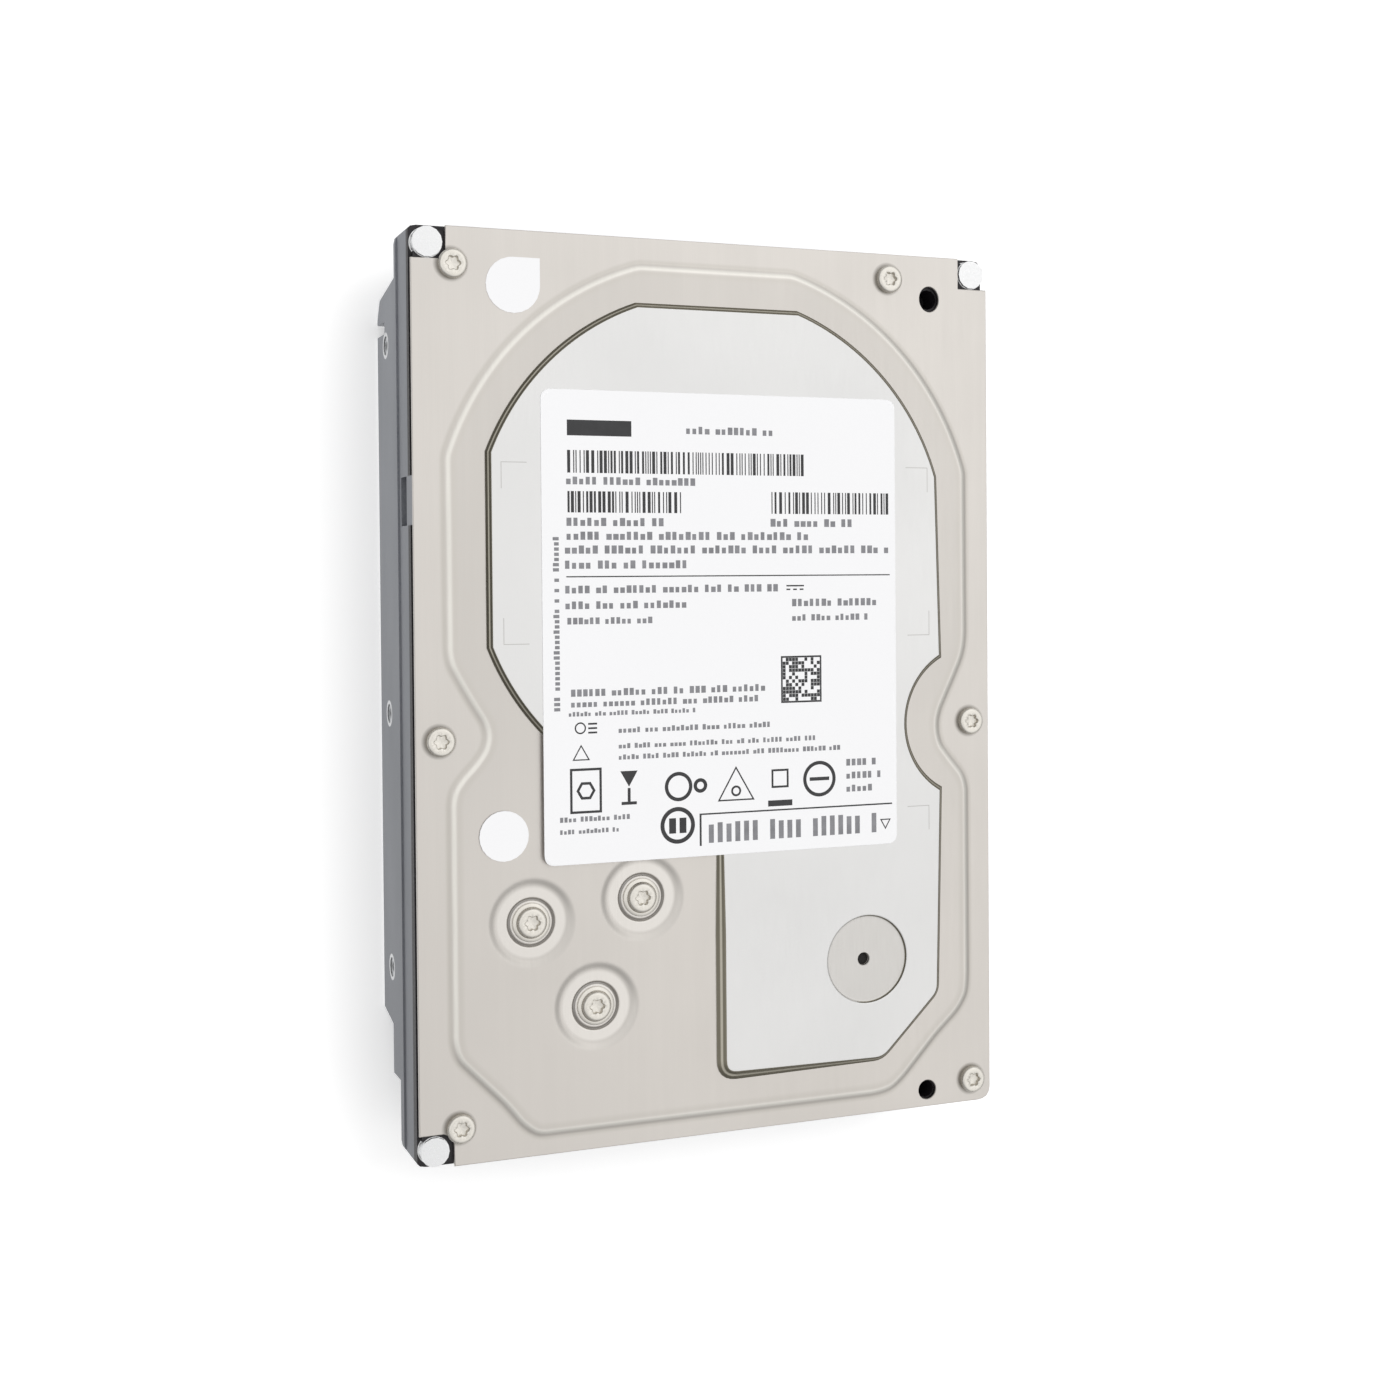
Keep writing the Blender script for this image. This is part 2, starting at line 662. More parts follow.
def cast_aluminium():
    """Grainy satin-grey casting, with milled faces and a black coat in the open corners."""
    look = Look("cast_aluminium", (0.255, 0.265, 0.29), metallic=0.75, roughness=0.46)
    x, y, z = look.xyz()
    grain = look.noise(0.35, detail=4, rough=0.62)
    skin = look.noise(0.09, rough=0.6)
    flow = look.noise(12.0, along=(1.0, 3.0, 1.0))
    base = look.mix(look.span(flow, MIDTONES), (0.215, 0.226, 0.25), (0.298, 0.308, 0.335))
    base = look.mix(look.span(grain, (0.35, 0.7), (0.0, 0.5)), base, (0.39, 0.40, 0.42))
    base = look.mix(look.span_mm(y, 50, -70, (0.0, 0.55)), base, (0.185, 0.19, 0.205))
    rough = look.plus(look.span(grain, MIDTONES, (0.40, 0.54)), 0.0)

    # black: the ledge outside the cover edge save for a lug, the open corners and two wells
    away_x, away_y = look.calc("ABSOLUTE", x), look.calc("ABSOLUTE", y)
    tilted_z = look.minus(z, look.times(y, 0.006))
    lug = look.times(look.between(y, 26.9, 34.6, soft=0.1),
                     look.span_mm(x, -45.1, -45.0, FALLING))
    ledge = look.times(
        look.span_mm(tilted_z, 20.5, 20.65),
        look.either(look.span_mm(away_x, 49.9, 50.0), look.span_mm(away_y, 72.7, 72.8)),
        look.minus(1.0, lug))
    well = look.times(look.either(look.disc(OVAL_HOLE, 2.7), look.disc(ROUND_HOLE, 2.4)),
                      look.span_mm(z, 16.9, 17.0))
    bosses = (((-47.9, 70.7), 2.46), ((47.8, 70.7), 2.46), ((-48.1, -70.8), 2.36))
    boss = look.either(*[look.disc(centre, radius, soft=0.03) for centre, radius in bosses])
    boss = look.times(boss, look.span_mm(z, 22.3, 22.4))
    corner = look.times(look.span_mm(away_x, 44.3, 44.4), look.span_mm(away_y, 67.2, 67.3),
                        look.span_mm(z, 21.0, 21.1))
    dark = look.times(look.either(ledge, corner, well), look.minus(1.0, boss))
    base = look.mix(dark, base, (0.012, 0.010, 0.012))
    metallic = look.minus(0.75, look.times(dark, 0.7))

    # milled: the feet, the land under the cover, boss tops, a spot face round each side hole
    feet = look.span_mm(z, 0.02, 0.06, FALLING)
    land = look.times(look.between(z, 23.85, 24.0, soft=0.02),
                      look.minus(1.0, look.either(corner, well)))
    spots = [look.times(look.disc((hole_y, SIDE_HOLE_Z), 2.15, soft=0.05, axes=(1, 2)),
                        look.span_mm(away_x, 45.5, 45.6)) for hole_y in SIDE_HOLE_Y]
    milled = look.either(feet, land, boss, *spots)
    lines = look.noise(0.12, detail=2, along=(30.0, 1.0, 30.0))
    bright = look.mix(lines, (0.62, 0.63, 0.64), (0.84, 0.84, 0.84))
    base = look.mix(milled, base, bright)
    brightest = look.mix(lines, (0.84, 0.845, 0.85), (0.93, 0.93, 0.93))
    look.color(look.mix(boss, base, brightest))
    look.metal(look.either(metallic, milled))
    look.rough(look.minus(rough, look.times(milled, 0.16)))
    look.bump(look.plus(look.times(grain, 1.0), look.times(skin, 0.5)),
              strength=0.30, depth=0.05)


def board_green():
    look = Look("board_green", (0.02, 0.16, 0.07), metallic=0.0, roughness=0.33)
    weave = look.wave(0.9, distortion=1.5)
    cloud = look.noise(5.0)
    grain = look.noise(0.3, rough=0.6)
    base = look.mix(cloud, (0.012, 0.115, 0.05), (0.03, 0.20, 0.09))
    look.color(look.mix(look.span(grain, (0.5, 0.7), (0.0, 0.4)), base, (0.045, 0.24, 0.12)))
    look.rough_by(grain, low=0.27, high=0.42)
    look.bump(look.plus(grain, look.times(weave, 0.4)), strength=0.18, depth=0.02)
    look.shader.inputs["Coat Weight"].default_value = 0.25


def board_track():
    look = Look("board_track", (0.03, 0.25, 0.115), metallic=0.0, roughness=0.3)
    grain = look.noise(0.4, rough=0.6)
    look.color(look.mix(grain, (0.028, 0.215, 0.10), (0.055, 0.31, 0.15)))
    look.rough_by(grain, low=0.24, high=0.38)
    look.bump(grain, strength=0.1, depth=0.01)


def contact_gold():
    look = Look("contact_gold", (0.83, 0.58, 0.24), metallic=1.0, roughness=0.26)
    grain = look.noise(0.25, rough=0.6)
    look.color(look.mix(grain, (0.74, 0.50, 0.19), (0.90, 0.66, 0.31)))
    look.rough_by(grain, low=0.2, high=0.36)
    look.bump(grain, strength=0.12, depth=0.01)


def amber_film():
    """Amber film with fine stripes one above the other."""
    look = Look("amber_film", (0.62, 0.30, 0.05), metallic=0.0, roughness=0.28)
    stripes = look.wave(0.45, bands_direction="Z")
    cloud = look.noise(0.6)
    look.color(look.mix(look.span(stripes, (0.35, 0.65)), (0.44, 0.17, 0.03), (0.72, 0.36, 0.07)))
    look.rough_by(cloud, low=0.22, high=0.36)
    look.bump(stripes, strength=0.3, depth=0.03)


def cloth(name, color, dark, light, bump, depth):
    look = Look(name, color, metallic=0.0, roughness=0.95)
    fibre = look.noise(0.12, detail=5, rough=0.7)
    lump = look.noise(0.5, rough=0.6)
    look.color(look.mix(fibre, dark, light))
    look.rough_by(lump, low=0.88, high=1.0)
    look.bump(look.plus(fibre, lump), strength=bump, depth=depth)


def copper_wire():
    look = Look("copper_wire", (0.62, 0.27, 0.12), metallic=1.0, roughness=0.32)
    turns = look.wave(0.25, distortion=0.6, wave_type="RINGS", rings_direction="SPHERICAL")
    sheen = look.noise(0.5, detail=2)
    look.color(look.mix(turns, (0.40, 0.15, 0.06), (0.78, 0.36, 0.17)))
    look.rough_by(sheen, low=0.26, high=0.42)
    look.bump(turns, strength=0.5, depth=0.08)


def disk_mirror():
    look = Look("disk_mirror", (0.82, 0.825, 0.84), metallic=1.0, roughness=0.04)
    grain = look.noise(0.4, detail=2)
    cloud = look.noise(14.0)
    look.color(look.mix(cloud, (0.79, 0.795, 0.81), (0.86, 0.865, 0.88)))
    look.rough_by(grain, low=0.03, high=0.07)
    look.bump(grain, strength=0.02, depth=0.002)


cover_steel()
plate_steel()
plate_edge()
label_paper()
ink("ink_dark", 0.030)
ink("ink_soft", 0.24)
screw_steel()
cast_aluminium()
moulded("rubber_seal", (0.012, 0.012, 0.013), rough=0.7, grain_size=0.3, bump=0.3, specular=0.3)
board_green()
contact_gold()
amber_film()
cloth("filter_cloth", (0.86, 0.86, 0.85), dark=(0.74, 0.74, 0.73), light=(0.93, 0.93, 0.92),
      bump=0.7, depth=0.15)
cloth("carbon_cloth", (0.02, 0.02, 0.02), dark=(0.010, 0.009, 0.009),
      light=(0.032, 0.031, 0.030), bump=0.6, depth=0.12)
moulded("black_plastic", (0.016, 0.016, 0.018), rough=0.48, grain_size=0.10, bump=0.3)
brushed("bright_nickel", (0.62, 0.61, 0.57), rough=0.26, along=(1, 1, 6), grain_size=0.3,
        tone=0.06, bump=0.12)
brushed("dark_steel", (0.09, 0.09, 0.10), rough=0.42, along=(1, 1, 0.12), grain_size=0.5,
        tone=0.25, bump=0.4, metallic=0.85)
copper_wire()
brushed("plain_steel", (0.60, 0.61, 0.62), rough=0.28, along=(1, 8, 1), grain_size=0.2,
        tone=0.05, bump=0.12)
moulded("ivory_plastic", (0.74, 0.70, 0.58), rough=0.45, grain_size=0.15, bump=0.2)
brushed("machined_aluminium", (0.66, 0.67, 0.68), rough=0.33, along=(1, 1, 20),
        grain_size=0.15, tone=0.07, bump=0.25)
disk_mirror()


# ------------------------------------------------------------------ carried-over CAD nodes
def node_group(name, build):
    group = bpy.data.node_groups.new(name, "GeometryNodeTree")
    for way in ("INPUT", "OUTPUT"):
        group.interface.new_socket("Geometry", in_out=way, socket_type="NodeSocketGeometry")
    start, end = add_node(group, "NodeGroupInput"), add_node(group, "NodeGroupOutput")
    put(group, end.inputs[0], build(group, start.outputs[0]))
    return group


def weld(group, geometry):
    """Drop the imported normals and join coincident points."""
    plain = add_node(group, "GeometryNodeRemoveAttribute",
                     {"Name": "custom_normal", "Geometry": geometry})
    merge = add_node(group, "GeometryNodeMergeByDistance",
                     {"Distance": 2e-6, "Geometry": plain.outputs[0]})
    return merge.outputs[0]


def smooth(group, geometry):
    """Smooth faces, with edges over 30 degrees left sharp."""
    angle = add_node(group, "GeometryNodeInputMeshEdgeAngle").outputs["Unsigned Angle"]
    gentle = add_node(group, "FunctionNodeCompare", {0: angle, 1: math.radians(30)},
                      data_type="FLOAT", operation="LESS_EQUAL")
    faces = add_node(group, "GeometryNodeSetShadeSmooth",
                     {"Shade Smooth": True, "Geometry": geometry}, domain="FACE")
    edges = add_node(group, "GeometryNodeSetShadeSmooth",
                     {"Geometry": faces.outputs[0], "Shade Smooth": gentle.outputs[0]},
                     domain="EDGE")
    return edges.outputs[0]


WELD = node_group("weld_points", weld)
SMOOTH = node_group("smooth_30", smooth)
SLOT_OF = {part["node"]: part["material_slot"] for part in frame["record"]["subparts"]}
REBUILT = {"top_cover", "damping_plate", "product_label", "flex_cable"}
REBUILT |= {name for name in NODES if "_screw" in name and name != "clamp_screw"}
BEVELS = {  # bevel width by node; the others have none
    "base_casting": 0.12, "interface_connector": 0.12, "controller_chip": 0.08,
    "flex_connector": 0.1, "load_ramp": 0.08, "rotor_hub": 0.1, "disk_clamp": 0.08,
    "actuator_carriage": 0.08, "actuator_latch": 0.1, "yoke_plate_top": 0.12,
    "yoke_plate_bottom": 0.12, "magnet_top": 0.15, "magnet_bottom": 0.15, "voice_coil": 0.15,
    "pivot_shaft": 0.1, "spindle_shaft": 0.1, "breather_filter": 0.2,
    "recirculation_filter": 0.2, "bearing_sleeve": 0.08, "stator_windings": 0.1,
}


def finish_node(name):
    """Give a CAD node its material, welded points, bevels and clean shading."""
    obj = NODES[name]
    obj.data.materials.clear()
    obj.data.materials.append(MATERIALS[SLOT_OF[name]])
    obj.modifiers.new("weld", "NODES").node_group = WELD
    if name in BEVELS:
        bevel = obj.modifiers.new("bevel", "BEVEL")
        bevel.width = BEVELS[name] * MM
        bevel.segments = 2
        bevel.limit_method = "ANGLE"
        bevel.angle_limit = math.radians(38)
        bevel.use_clamp_overlap = True
        bevel.miter_outer = "MITER_ARC"
    obj.modifiers.new("smooth", "NODES").node_group = SMOOTH
    obj.modifiers.new("weighted", "WEIGHTED_NORMAL").keep_sharp = True


for name in NODES:
    if name not in REBUILT:
        finish_node(name)


# ------------------------------------------------------------------ cover sheet
def slope(start, end, z_start, z_end, steps):
    """Rounded step as (distance, height) pairs."""
    return [(start + (end - start) * i / steps,
             z_start + (z_end - z_start) * (0.5 - 0.5 * math.cos(math.pi * i / steps)))
            for i in range(steps + 1)]


def distance_from_band(points):
    """Distance from the BAND outline, negative inside it."""
    away = np.full(len(points), 99.0)
    corners = np.array(BAND)
    for a, b in zip(corners, np.roll(corners, -1, axis=0)):
        side = b - a
        along = np.clip(((points - a) @ side) / max(side @ side, 1e-9), 0, 1)
        near = a + along[:, None] * side
        away = np.minimum(away, np.linalg.norm(points - near, axis=1))
    return np.where(inside(BAND, points), -away, away)


def build_cover():
    # (distance outside BAND, top height)
    band_steps = [(1.25, FLANGE_Z), (1.0, FLANGE_Z)] + slope(0.78, -0.72, FLANGE_Z, RAISED_Z, 10)
    band_steps += [(d, RAISED_Z) for d in (-0.95, -1.2, -1.9)]
    rings = [(offset(BAND, d), z, z - SHEET) for d, z in band_steps]

    # (radius, top height): slope, flat floor, and a groove round the screw
    groove_z = 24.40
    dimple = [(7.5, RAISED_Z)] + slope(7.3, 5.75, RAISED_Z, DIMPLE_Z, 8)
    dimple += [(5.55, DIMPLE_Z), (4.20, DIMPLE_Z)] + slope(4.05, 3.72, DIMPLE_Z, groove_z, 4)
    dimple += slope(3.70, 3.34, groove_z, DIMPLE_Z, 4)[1:] + [(3.2, DIMPLE_Z)]
    rings += [(circle(p, r, 72), z, z - SHEET) for p in DIMPLES for r, z in dimple]

    angles = [2 * math.pi * i / 32 for i in range(32)]
    oval = [(OVAL_HOLE[0] + 1.85 * math.cos(a), OVAL_HOLE[1] + 2.15 * math.sin(a))
            for a in angles]
    holes = [(circle(p, 1.6, 20), FLANGE_Z) for p in COVER_SCREWS]
    holes += [(oval, FLANGE_Z), (circle(ROUND_HOLE, 1.65, 28), FLANGE_Z),
              (circle(BREATHER, BREATHER_RADIUS, 28), RAISED_Z)]
    holes += [(circle(p, 1.7, 24), DIMPLE_Z) for p in DIMPLES]
    holes = [(points, z, z - SHEET) for points, z in holes]
    obj = sheet("cover_sheet", COVER_OUTLINE, holes, rings, FLANGE_Z, FLANGE_Z - SHEET,
                [MATERIALS["cover_steel"]], edge=0.14)

    # masks for the cover material, as (distances outside BAND, values there)
    masks = {
        "crest": ([-0.74, -0.48, -0.08, 0.20], [0.0, 1.0, 1.0, 0.0]),
        "dull": ([-1.9, -1.2, -0.85, -0.65, 0.12, 0.35, 0.80, 1.2],
                 [0, 0.7, 0.8, 0, 0, 0.9, 1, 0]),
        "inner": ([-1.9, -0.95], [1.0, 0.0]),
    }
    away = distance_from_band(np.array([(v.co.x / MM, v.co.y / MM) for v in obj.data.vertices]))
    for name, (distances, values) in masks.items():
        mask = obj.data.attributes.new(name, "FLOAT", "POINT")
        mask.data.foreach_set("value", np.interp(away, distances, values).astype(np.float32))
    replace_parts(obj, "top_cover")


# ------------------------------------------------------------------ damping plate
def build_plate():
    def outset(distance):
        """Outline moved outwards, further along the tail's left side."""
        return offset(PLATE_OUTLINE, lambda p: distance * (
            1.75 if (p[0] < 3.2 and p[1] < -23.5) else 1.0))

    rim = [     # (distance outside the outline, height), above the foot of the edge
        (0.30, 25.34), (0.12, 25.56), (0.04, 25.60), (-0.10, 25.66), (-0.26, 25.86),
        (-0.34, 25.945), (-0.43, 25.99), (-0.50, PLATE_Z), (-0.62, PLATE_Z)]
    well = [    # (radius, height), inwards
        (7.78, PLATE_Z), (7.66, PLATE_Z), (7.54, 25.985), (7.45, 25.93), (7.38, 25.80),
        (7.33, 25.66), (7.27, 25.58), (7.18, WELL_Z), (6.9, WELL_Z)]
    rings = [(outset(d), z, PLATE_LOW_Z) for d, z in rim]
    rings += [(circle(WELL, r, 72), z, PLATE_LOW_Z) for r, z in well]
    rings.append((circle(BREATHER, 1.6, 28), WELL_Z, PLATE_LOW_Z))
    hole = (circle(BREATHER, BREATHER_RADIUS, 28), WELL_Z, PLATE_LOW_Z)
    obj = sheet("damping_sheet", outset(0.42), [hole], rings, PLATE_RIM_Z, PLATE_LOW_Z,
                [MATERIALS["plate_steel"], MATERIALS["plate_edge"]], edge=0.0001)

    # the rim, and the well's wall where it does not face right, take the edge material
    edge = []
    for face in obj.data.polygons:
        away = (Vector((face.center.x, face.center.y)) / MM - Vector(WELL)).length
        tilted = abs(face.normal.z) < 0.985 and face.center.z > 25.16 * MM
        in_wall = away > 7.22 and face.normal.z < 0.8 and face.normal.x < 0.2
        edge.append(int(tilted and (away > 7.8 or in_wall)))
    obj.data.polygons.foreach_set("material_index", np.array(edge, np.int32))
    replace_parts(obj, "damping_plate")


def build_plate_marks():
    """Five faint corner marks on the plate."""
    arm, width = 4.2, 0.13
    places = [  # x, y of the free end's line, then the x and y directions of the arms
        (-32.8, 36.8, -1, -1), (-32.6, 8.1, -1, 1), (34.0, 37.0, 1, -1), (34.2, 8.3, 1, 1),
        (34.0, -20.9, 1, -1)]
    marks = Solids()
    for x, y, way_x, way_y in places:
        corner_x = x + way_x * arm
        inner_x, inner_y, end_y = corner_x - way_x * width, y + way_y * width, y + way_y * arm
        marks.prism([(corner_x, y), (x, y), (x, inner_y), (inner_x, inner_y),
                     (inner_x, end_y), (corner_x, end_y)], 25.9, 26.006)
    look = brushed("plate_mark", (0.62, 0.61, 0.59), rough=0.45, along=(1, 1, 1),
                   grain_size=0.2, tone=0.08, bump=0.1)
    marks.make("plate_marks", look.material, "plate_steel")


build_cover()
build_plate()
build_plate_marks()


# ------------------------------------------------------------------ label and its generic print
DARK, SOFT = 1, 2   # material index of each ink


class Print:
    """Printed shapes as (loops, material index). Boxes are x0, x1, top y, bottom y."""

    def __init__(self, seed):
        self.regions = []
        self.random = np.random.RandomState(seed)

    def bar(self, x0, x1, top, bottom, shade=DARK):
        self.regions.append(([rect(x0, bottom, x1, top)], shade))

    def text(self, x0, x1, top, bottom):
        """Greeked line: plain blocks in word groups, no letters."""
        height = top - bottom
        pitch, x, word = height * 0.72, x0, self.random.randint(3, 8)
        while x + pitch * 0.7 <= x1:
            width = pitch * self.random.uniform(0.58, 0.80)
            drop = 0.0 if self.random.rand() < 0.55 else height * 0.22
            self.bar(x, x + width, top - drop - height * 0.08, bottom + height * 0.10, SOFT)
            x += pitch
            word -= 1
            if word == 0:
                x += pitch * 0.75
                word = self.random.randint(2, 9)

    def barcode(self, x0, x1, top, bottom):
        x = x0
        while x < x1 - 0.3:
            width = self.random.choice([0.19, 0.19, 0.36, 0.52])
            self.bar(x, min(x + width, x1), top, bottom)
            x += width + self.random.choice([0.20, 0.20, 0.36, 0.48])

    def column(self, x0, x1, top, bottom):
        """Greeked line running down the label."""
        y = top
        while y - 0.7 > bottom:
            if self.random.rand() > 0.16:
                inset = 0 if self.random.rand() < 0.5 else (x1 - x0) * 0.22
                self.bar(x0 + inset, x1, y, y - 0.54, SOFT)
            y -= 0.82

    def modules(self, left, top, size_x, size_y, count):
        """Square patch of random blocks."""
        step_x, step_y, gap = size_x / count, size_y / count, 0.02
        for i in range(count):
            for j in range(count):
                if self.random.rand() < 0.62:
                    self.bar(left + i * step_x + gap, left + (i + 1) * step_x - gap,
                             top - j * step_y - gap, top - (j + 1) * step_y + gap)

    def tall_line(self, x, end, top, bottom):
        """Greeked line of tall characters."""
        width = 1.25
        while x < end:
            if self.random.rand() > 0.17:
                drop = self.random.randint(0, 2) * 0.3
                self.bar(x, x + width * 0.72, top - drop, bottom, SOFT)
            x += width * 1.25

    def polygon(self, x, y, radius, sides, line=0.0, start=90.0):
        """Regular polygon, solid or drawn with a line of the given width."""
        loops = [circle((x, y), radius, sides, start)]
        if line:
            loops.append(circle((x, y), radius - line, sides, start))
        self.regions.append((loops, DARK))

    def ring(self, x, y, radius, line, sides=40):
        self.polygon(x, y, radius, sides, line, start=0.0)


def build_label():
    page = Print(seed=11)
    bar, text, barcode, column = page.bar, page.text, page.barcode, page.column
    ring, polygon = page.ring, page.polygon
    steps = [   # in printing order, which fixes the random draws
        # heading and data lines
        (bar, -26.2, -15.4, 43.6, 41.1), (text, -6.0, 10.2, 43.1, 41.6),
        (barcode, -26.2, 15.5, 38.8, 35.2), (text, -26.4, -3.6, 34.7, 33.2),
        (barcode, -26.2, -6.8, 32.3, 28.9), (barcode, 9.0, 30.6, 32.5, 28.9),
        (text, -26.4, -9.0, 28.2, 26.6), (text, 8.8, 24.8, 28.2, 26.6),
        (text, -26.4, 16.0, 26.0, 24.4), (text, -26.7, 30.6, 23.8, 22.2),
        (text, -26.7, -5.0, 21.4, 19.8), (bar, -26.5, 30.8, 18.8, 18.6),
        (text, -26.7, 10.5, 17.4, 15.9), (bar, 11.6, 14.8, 17.1, 16.85),
        (bar, 11.6, 12.3, 16.5, 16.25), (bar, 12.8, 13.5, 16.5, 16.25),
        (bar, 14.0, 14.7, 16.5, 16.25), (text, -26.7, -6.0, 14.9, 13.4),
        (text, 12.6, 30.0, 14.9, 13.4), (text, -26.4, -12.0, 12.3, 11.0),
        (text, 12.6, 27.2, 12.3, 11.0),
        # framed patch of modules
        (bar, 10.5, 17.9, 5.3, 5.0), (bar, 10.5, 10.8, 4.998, -2.5),
        (bar, 17.602, 17.9, 4.998, -2.5), (bar, 10.802, 17.6, -2.2, -2.5),
        (page.modules, 10.8, 5.0, 6.8, 7.2, 12),
        (text, -25.9, 7.8, 0.9, -0.5), (text, -25.9, 7.8, -0.9, -2.2),
        (text, -26.3, -4.2, -2.7, -3.6),
        # small icons and their lines
        (ring, -24.4, -5.4, 0.95, 0.24), (bar, -23.1, -21.6, -4.6, -4.9),
        (bar, -23.1, -21.6, -5.3, -5.6), (bar, -23.1, -21.6, -6.0, -6.3),
        (text, -18.0, 9.2, -5.4, -6.5), (polygon, -24.3, -9.7, 1.7, 3, 0.4),
        (text, -18.0, 17.4, -8.0, -9.0), (text, -18.0, 21.8, -9.8, -10.8),
        # row of marks: a framed hexagon, then plain shapes
        (bar, -26.2, -20.9, -11.8, -12.2), (bar, -26.2, -25.8, -12.202, -19.0),
        (bar, -21.3, -20.9, -12.202, -19.0), (bar, -25.798, -21.302, -18.6, -19.0),
        (polygon, -23.55, -15.4, 1.6, 6, 0.5, 0.0), (polygon, -16.3, -13.4, 1.7, 3, 0.0, 270.0),
        (bar, -16.55, -16.05, -15.3, -17.5), (bar, -17.6, -15.0, -17.502, -18.0),
        (ring, -7.8, -15.5, 2.4, 0.6), (ring, -4.0, -15.5, 1.2, 0.6),
        (polygon, 2.3, -16.4, 3.8, 3, 0.5), (ring, 2.3, -16.7, 0.9, 0.35, 24),
        (polygon, 10.2, -15.0, 2.2, 4, 0.5, 45.0), (bar, 8.0, 12.4, -18.6, -19.6),
        (ring, 17.4, -15.4, 3.0, 0.6, 48), (bar, 15.6, 19.2, -15.1, -15.7),
        (text, 22.4, 28.8, -12.2, -13.6), (text, 22.4, 29.6, -14.4, -15.8),
        (text, 22.4, 28.0, -16.6, -18.0),
        (text, -27.9, -16.0, -19.4, -20.4), (text, -27.9, -17.8, -21.4, -22.3),
        (ring, -8.0, -21.8, 3.0, 0.7, 48), (bar, -9.5, -8.3, -20.6, -23.1),
        (bar, -7.7, -6.5, -20.6, -23.1),
        # strip with a tall line, and the column up the left side
        (bar, -4.2, 31.0, -20.1, -20.36), (bar, -4.2, -3.85, -20.362, -25.4),
        (page.tall_line, -2.6, 28.6, -21.7, -25.0), (polygon, 29.7, -23.4, 1.2, 3, 0.4, 270.0),
        (column, -28.7, -27.7, 25.0, -3.0),
    ]
    for draw, *sizes in steps:
        draw(*sizes)
    materials = [MATERIALS[name] for name in ("label_paper", "ink_dark", "ink_soft")]
    obj = sheet("label_film", LABEL_OUTLINE, [], [], LABEL_Z, PLATE_Z, materials,
                edge=0.05, ink=page.regions)
    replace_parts(obj, "product_label")


build_label()


# ------------------------------------------------------------------ screws
def torx_screw(name, node, centre, radius, height, length, seat=FLANGE_Z + 0.01, flange=None,
               flip=False, shank=1.3):
    """Domed head with a six-lobed socket, on a flange if one is given, and a plain shank."""
    socket = radius * 0.44
    profile = [(0.0, -length), (shank * 0.7, -length), (shank, -length + 0.4), (shank, -0.02)]
    if flange:
        profile += [(flange, 0.0), (flange, 0.22), (flange - 0.12, 0.32), (radius + 0.12, 0.36)]
    else:
        profile += [(radius * 0.98, 0.0)]
    profile += [
        (radius, 0.5 if flange else height * 0.42), (radius * 0.99, height * 0.68),
        (radius * 0.94, height * 0.86), (radius * 0.85, height * 0.965),
        (radius * 0.76, height), (socket + 0.14, height, 0.9),
        (socket + 0.04, height - 0.07, 1.0), (socket, height - 0.16, 1.0),
        (socket * 0.97, height * 0.30, 1.0), (socket * 0.45, height * 0.22, 0.4),
        (0.0, height * 0.16)]
    solid = Solids()
    solid.lathe(*centre, profile, 60, z0=seat, flip=flip)
    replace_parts(solid.make(name, MATERIALS["screw_steel"], "screw_steel"), node)


for i, centre in enumerate(COVER_SCREWS):
    torx_screw("cover_torx_%d" % (i + 1), "cover_screw_%d" % (i + 1), centre,
               radius=2.3, height=1.0, length=6.4)
for kind, centre in (("pivot_%s", PIVOT), ("yoke_%s_1", YOKE_SCREWS[0]),
                     ("yoke_%s_2", YOKE_SCREWS[1])):
    torx_screw(kind % "torx", kind % "screw", centre,
               radius=2.42, height=1.05, length=3.4, flange=3.1)
for i, centre in enumerate(BOARD_SCREWS):
    torx_screw("board_torx_%d" % (i + 1), "board_screw_%d" % (i + 1), centre,
               radius=2.5, height=0.8, length=3.6, seat=BOARD_Z, flip=True, shank=1.1)


# ------------------------------------------------------------------ connector contacts
def build_contacts():
    """Two groups of flat contacts; every third one reaches further out."""
    pitch, half_width = 1.27, 0.38
    contacts = Solids()
    for start, count in ((-31.9, 7), (-17.4, 15)):
        for k in range(count):
            x = start + pitch * k + 0.35
            contacts.box(x - half_width, x + half_width, -72.3 if k % 3 else -72.5, -67.3,
                         2.93, 3.06, bevel=0.03)
    contacts.make("connector_contacts", MATERIALS["contact_gold"], "bright_nickel")


build_contacts()


